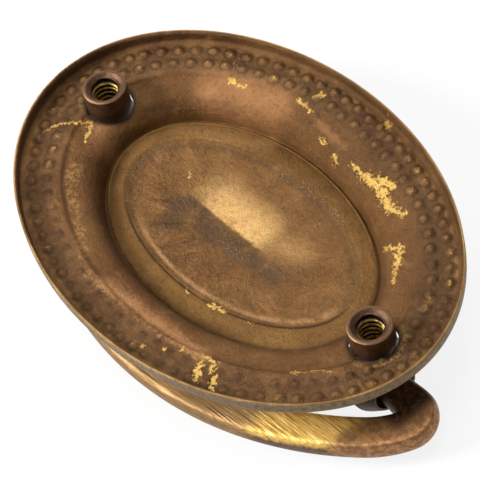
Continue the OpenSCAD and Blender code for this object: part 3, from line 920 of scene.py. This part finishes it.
print("posts painted")

# %% [markdown]
# The bail is satin brass. Filing marks run almost straight across it, the flat
# back of one flank carries a painted highlight, and the outer side is a duller
# brown. Anisotropic shading could suggest the marks. Stretched noise was chosen,
# since it also breaks up the outline of the highlight, as real file marks do.

# %% Bail
bail_paint = Paint("bail_brass")
p = bail_paint
cloud = p.noise(0.09, 4.0, 0.6)
grain = p.noise(1.2, 5.0, 0.7)
slant = math.radians(-6)
su = p.x * math.cos(slant) + p.z * math.sin(slant)
sv = p.z * math.cos(slant) - p.x * math.sin(slant)
filed = p.vector(su * 0.2, p.y * 4.0, sv * 4.0)
brush = p.noise(1.0, 4.0, 0.6, filed)
wide = p.noise(0.25, 3.0, 0.6, filed)
across = p.x.math("ABSOLUTE")
behind = p.y * math.cos(tilt) + p.z * math.sin(tilt) + pivot_depth
back = (behind + (grain - 0.5) * 1.2).ramp(0.6, 1.7)
colour = p.mix(cloud.ramp(0.35, 0.7), (0.27, 0.155, 0.060, 1), (0.42, 0.25, 0.102, 1))
flank = 1.0 - p.x.ramp(-30.0, -25.0)
brown = p.mix(grain.ramp(0.4, 0.65), (0.085, 0.050, 0.032, 1), (0.17, 0.100, 0.058, 1))
colour = p.mix((1.0 - back) * (0.15 + flank * 0.75), colour, brown)
bend = (across - 41.0 + (cloud - 0.5) * 12.0).ramp(-2.0, 2.0)
# The ends of the arms beside the posts are painted almost black.
inside = across.ramp(36.0, 39.0) * (46.3 - across + (grain - 0.5) * 5.0).ramp(0.0, 2.0)
inside = inside * (p.z + 6.5 + (grain - 0.5) * 5.0).ramp(0.0, 2.5)
# A painted highlight on the flat back of one flank.
flat_highlight = flank * back * (1.0 - bend) * (1.0 - inside)
colour = p.mix(flat_highlight * (0.6 + wide * 0.6), colour, (1.0, 0.62, 0.145, 1))
copper = p.mix(grain.ramp(0.42, 0.62), (0.24, 0.115, 0.054, 1), (0.50, 0.25, 0.095, 1))
colour = p.mix(bend * 0.9, colour, copper)
arm_dark = p.mix(grain.ramp(0.5, 0.6), (0.030, 0.018, 0.012, 1), (0.14, 0.080, 0.04, 1))
colour = p.mix(inside * 0.85, colour, arm_dark)
colour = p.mix(brush.ramp(0.50, 0.60) * (0.55 - bend * 0.35), colour, (0.14, 0.070, 0.025, 1))
# Lighter painted streaks along the file marks inside the highlight.
colour = p.mix((1.0 - brush.ramp(0.36, 0.48)) * flat_highlight * 0.6, colour, (1.0, 0.80, 0.34, 1))
colour = p.mix(grain.ramp(0.55, 0.8) * 0.4, colour, (0.12, 0.065, 0.032, 1))
p.set(Base_Color=colour, Metallic=0.75, Roughness=0.40 + brush * 0.2)
p.bump(brush * (1.0 - bend * 0.7) + grain * 0.4, 0.6, 0.0002)
print("bail painted")

# %% [markdown]
# Each finish goes to the mesh made here and to the node it stands for, so that
# both look the same. The posts keep the CAD mesh, since it already has all that
# a camera sees of them outside the bore.


# %% Finishes on the pieces
def paint(obj, painted):
    obj.data.materials.clear()
    obj.data.materials.append(painted.material)


paint(plate, plate_paint)
paint(bail, bail_paint)
for t in threads:
    paint(t, post_paint)
node_paints = {
    "backplate": plate_paint, "left_post": post_paint, "right_post": post_paint, "bail": bail_paint,
}
for name, painted in node_paints.items():
    paint(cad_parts[name], painted)
print("materials", [m.name for m in bpy.data.materials])

# %% [markdown]
# ## Camera
#
# The photo looks at the back of the pull from one side, through a long lens. The
# camera could be set by eye. It was solved instead, from the oval, the posts and
# the rows of beads, so that the render can be laid over the photo.

# %% Camera
camera_data = bpy.data.cameras.new("camera")
camera = bpy.data.objects.new("camera", camera_data)
bpy.context.scene.collection.objects.link(camera)
right = Vector((-0.61224, -0.16555, 0.77314))
up = Vector((0.55468, 0.60691, 0.5692))
ahead = Vector((0.56346, -0.77734, 0.27975))
turn = Matrix((right, up, -ahead)).transposed()
stand = Vector((-0.276313, 0.372846, -0.137552))
camera.matrix_world = Matrix.Translation(stand) @ turn.to_4x4()
camera_data.lens = 225
camera_data.sensor_width = 36
camera_data.clip_start = 0.01
camera_data.clip_end = 10
bpy.context.scene.camera = camera
print("camera stands", round(stand.length * 1000), "mm from the middle of the plate")

# %% [markdown]
# ## Floor
#
# The pull lies on its face: the heads of the posts and the bow of the bail touch
# the floor. More light would make the floor white, but would bleach the brass.
# So the floor is white of itself where the camera or a reflection sees it, with
# a share of plain diffuse left in, which keeps a soft shadow. It is clear from
# below, so that the front can be looked at as well.

# %% Floor
floor_data = bpy.data.meshes.new("floor")
size, floor_y = 3.0, -0.01705
slope = math.radians(2.3)
rise, run = math.sin(slope), math.cos(slope)
floor_corners = [(-1, -1), (-1, 1), (1, 1), (1, -1)]
floor_points = [(sx * size, floor_y + rise * sz * size, run * sz * size) for sx, sz in floor_corners]
floor_data.from_pydata(floor_points, [], [(0, 1, 2, 3)])
floor = bpy.data.objects.new("floor", floor_data)
bpy.context.scene.collection.objects.link(floor)
floor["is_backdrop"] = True

floor_material = bpy.data.materials.new("floor_white")
floor_material.use_nodes = True
tree = floor_material.node_tree
tree.nodes.clear()
any_value = Value(tree, None)
path = tree.nodes.new("ShaderNodeLightPath")
WHITE_SHARE = 0.85
seen = Value(tree, path.outputs["Is Camera Ray"]) * WHITE_SHARE
seen = seen + Value(tree, path.outputs["Is Glossy Ray"])
seen = (seen + Value(tree, path.outputs["Is Transmission Ray"])).math("MINIMUM", 1.0)
diffuse = any_value.node("ShaderNodeBsdfDiffuse", Color=(0.8, 0.8, 0.8, 1))
white = any_value.node("ShaderNodeEmission", Color=(1, 1, 1, 1), Strength=1.0)
mixed = any_value.node("ShaderNodeMixShader", i0=seen, i1=diffuse, i2=white)
below = Value(tree, tree.nodes.new("ShaderNodeNewGeometry").outputs["Backfacing"])
clear = any_value.node("ShaderNodeBsdfTransparent")
mixed = any_value.node("ShaderNodeMixShader", i0=below, i1=mixed, i2=clear)
output = tree.nodes.new("ShaderNodeOutputMaterial")
tree.links.new(mixed.socket, output.inputs["Surface"])
floor_data.materials.append(floor_material)
print("floor", round(2 * size, 1), "m wide")

# %% [markdown]
# ## World and lamps
#
# The photo has soft light from above and a stronger lamp from low on one side,
# which draws the long shine on the cove. A picture of a studio could light it.
# Three large lamps were chosen, since each can be set alone. The world is white
# to the camera and dim as a light.

# %% World and lamps
world = bpy.data.worlds.new("studio")
bpy.context.scene.world = world
world.use_nodes = True
tree = world.node_tree
tree.nodes.clear()
any_value = Value(tree, None)
path = tree.nodes.new("ShaderNodeLightPath")
seen = Value(tree, path.outputs["Is Camera Ray"])
as_light = 0.3
strength = as_light + seen * (1.0 - as_light)
background = any_value.node("ShaderNodeBackground", Color=(1, 1, 1, 1), Strength=strength)
output = tree.nodes.new("ShaderNodeOutputWorld")
tree.links.new(background.socket, output.inputs["Surface"])


def area_light(name, place, aim, size, power):
    data = bpy.data.lights.new(name, "AREA")
    data.energy = power
    data.shape = "SQUARE"
    data.size = size
    lamp = bpy.data.objects.new(name, data)
    lamp.location = place
    lamp.rotation_mode = "QUATERNION"
    lamp.rotation_quaternion = (Vector(aim) - Vector(place)).to_track_quat("-Z", "Y")
    bpy.context.scene.collection.objects.link(lamp)
    return lamp


area_light("above", (-0.02, 0.95, -0.05), (0, 0, 0), 0.4, 3.5)
area_light("far_side", (0.6, 0.5, 0.6), (0, 0, 0), 0.35, 4.0)
area_light("low_side", (0.42, 0.5, -0.68), (-0.03, -0.01, -0.015), 0.3, 13.0)
bpy.context.scene.view_settings.view_transform = "Standard"
print("lamps", sorted(lamp.name for lamp in bpy.data.lights))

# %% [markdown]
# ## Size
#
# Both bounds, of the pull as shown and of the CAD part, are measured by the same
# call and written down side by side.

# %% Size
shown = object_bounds()
for label, (low, high) in (("cad", cad_bounds), ("shown", shown)):
    print(label, [round(v * 1000, 2) for v in (*low, *high)])
